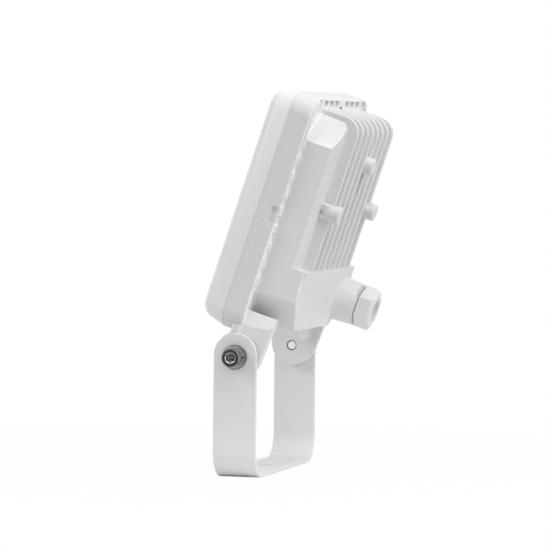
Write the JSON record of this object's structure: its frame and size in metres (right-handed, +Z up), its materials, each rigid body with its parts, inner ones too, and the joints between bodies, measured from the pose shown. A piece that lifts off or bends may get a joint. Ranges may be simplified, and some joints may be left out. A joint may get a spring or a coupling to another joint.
{
  "type": "led flood light",
  "caption": "Outdoor LED flood light: square finned housing with an opal front cover, tilting on a folded steel bracket with slotted fixing holes.",
  "frame": {"origin": "centre of the round fixing hole in the bracket's base, on the base's underside", "axes": "+Z up, +X along the tilt pivot, -Y the way the light looks"},
  "size_m": [0.1554, 0.0864, 0.2201],
  "materials": {
    "bracket_coat": "white powder coat",
    "housing_coat": "white powder coat",
    "opal_cover": "opal, smooth",
    "gasket_rubber": "grey rubber",
    "gland_plastic": "satin nylon",
    "seal_rubber": "soft rubber",
    "screw_steel": "stainless",
    "slip_plastic": "nylon",
    "small_screw_steel": "zinc plated",
    "sheet_steel": "white sheet",
    "board_white": "solder mask, aluminium core",
    "board_green": "solder mask",
    "led_phosphor": "phosphor",
    "thermal_grey": "silicone sheet",
    "reflector_white": "bright white",
    "part_black": "moulded",
    "terminal_plastic": "nylon",
    "tag_brass": "tinned",
    "lead_green": "insulation",
    "lead_red": "insulation",
    "lead_blue": "insulation"
  },
  "bodies": {
    "bracket": {"bracket": "bracket_coat"},
    "head": {"rear_housing": "housing_coat", "lens_cover": "opal_cover", "cover_gasket": "gasket_rubber", "gland_nut": "gland_plastic", "gland_ring": "gland_plastic", "gland_seal": "seal_rubber", "pivot_screw_left": "screw_steel", "pivot_screw_right": "screw_steel", "spring_washer_left": "screw_steel", "spring_washer_right": "screw_steel", "flat_washer_left": "screw_steel", "flat_washer_right": "screw_steel", "friction_washer_left": "slip_plastic", "friction_washer_right": "slip_plastic", "board_screws": "small_screw_steel", "driver_screws": "small_screw_steel", "gear_cover_screws": "small_screw_steel", "earth_screw": "small_screw_steel", "terminal_screws": "small_screw_steel", "gear_cover": "sheet_steel", "led_board": "board_white", "driver_board": "board_green", "led_chips": "led_phosphor", "thermal_sheet": "thermal_grey", "reflector": "reflector_white", "transformer": "part_black", "driver_chips": "part_black", "capacitors": "part_black", "terminal_block": "terminal_plastic", "earth_tag": "tag_brass", "earth_lead": "lead_green", "led_leads": "lead_red", "supply_leads": "lead_blue"}
  },
  "joints": [
    {"name": "head_tilt", "type": "hinge", "parent": "bracket", "child": "head", "pos_m": [0, 0, 0.0692], "axis": [1, 0, 0], "range_deg": [-70, 108]}
  ]
}
